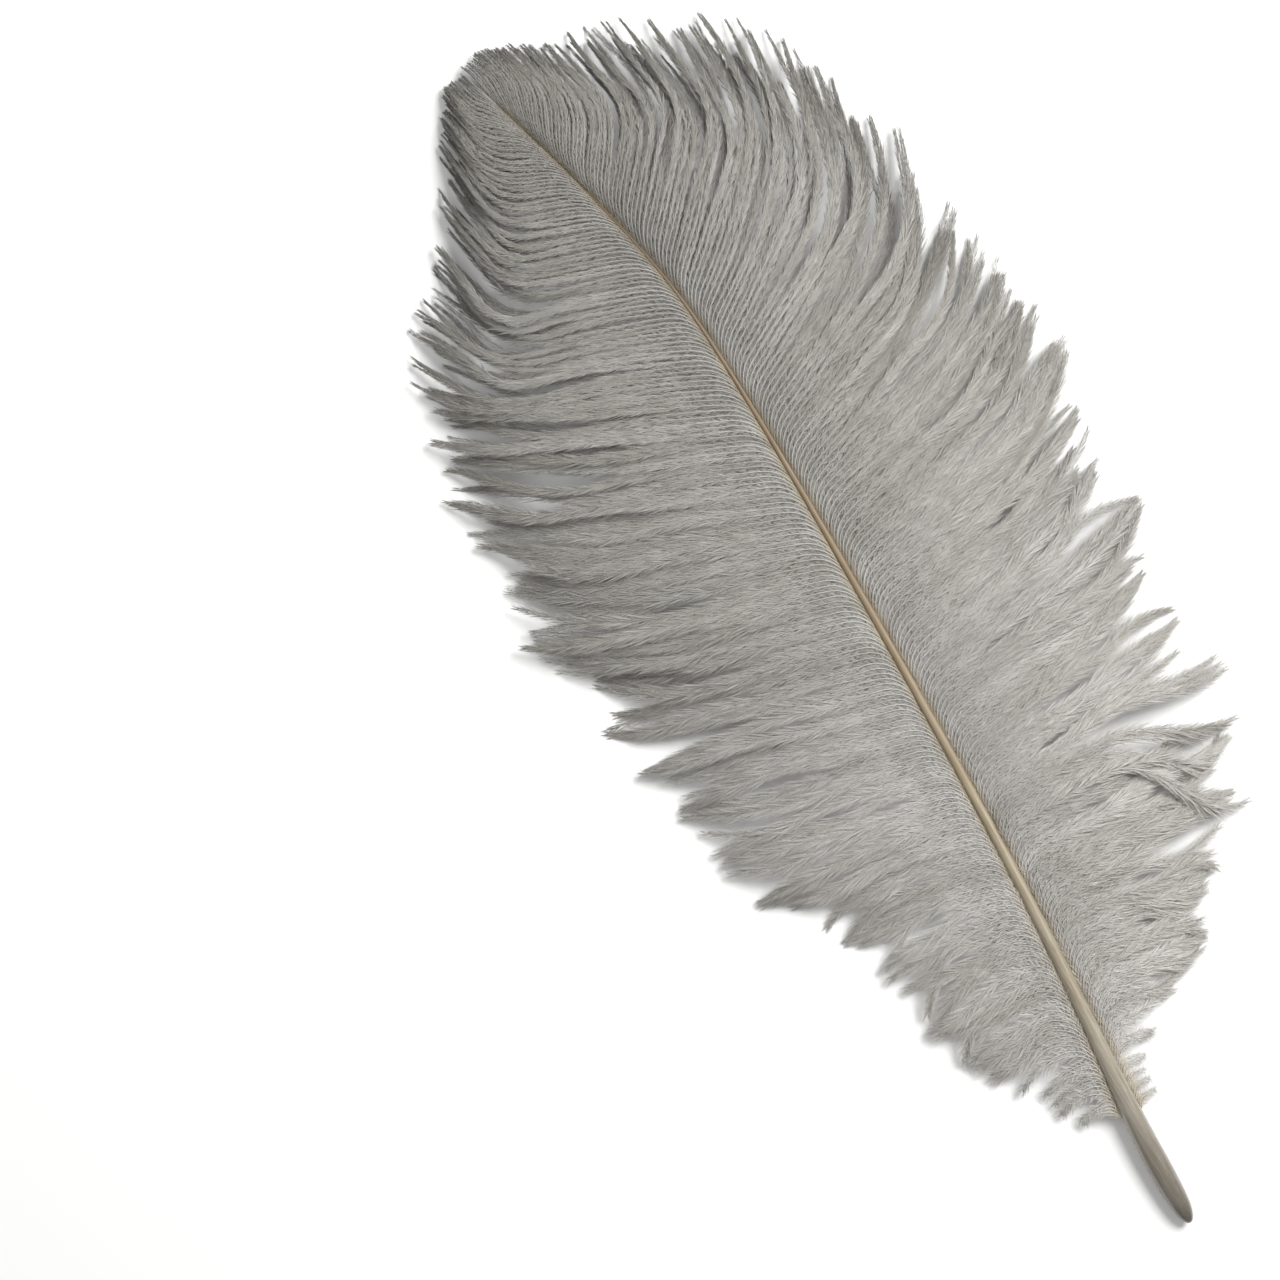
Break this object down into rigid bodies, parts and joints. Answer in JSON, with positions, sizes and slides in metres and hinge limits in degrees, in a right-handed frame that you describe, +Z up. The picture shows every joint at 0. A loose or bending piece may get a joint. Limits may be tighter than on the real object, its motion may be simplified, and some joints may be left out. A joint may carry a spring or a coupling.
{
  "type": "ostrich feather",
  "caption": "Pale grey ostrich plume lying flat: a bowed horn shaft with a bare quill, and a wide soft vane of curling barb locks on each side.",
  "frame": {"origin": "on the table, under the middle of the plume's outline", "axes": "+Y from the quill towards the tip, +X to the right of the shaft seen from above, +Z up from the table"},
  "size_m": [0.132, 0.3022, 0.0138],
  "materials": {
    "horn": "semi-gloss horn, grey at the quill and tan along the shaft",
    "barbs": "soft matt down with a faint silky sheen, darker towards the tip"
  },
  "bodies": {
    "root": {"shaft": "horn", "left_vane": "barbs", "right_vane": "barbs"}
  },
  "joints": []
}
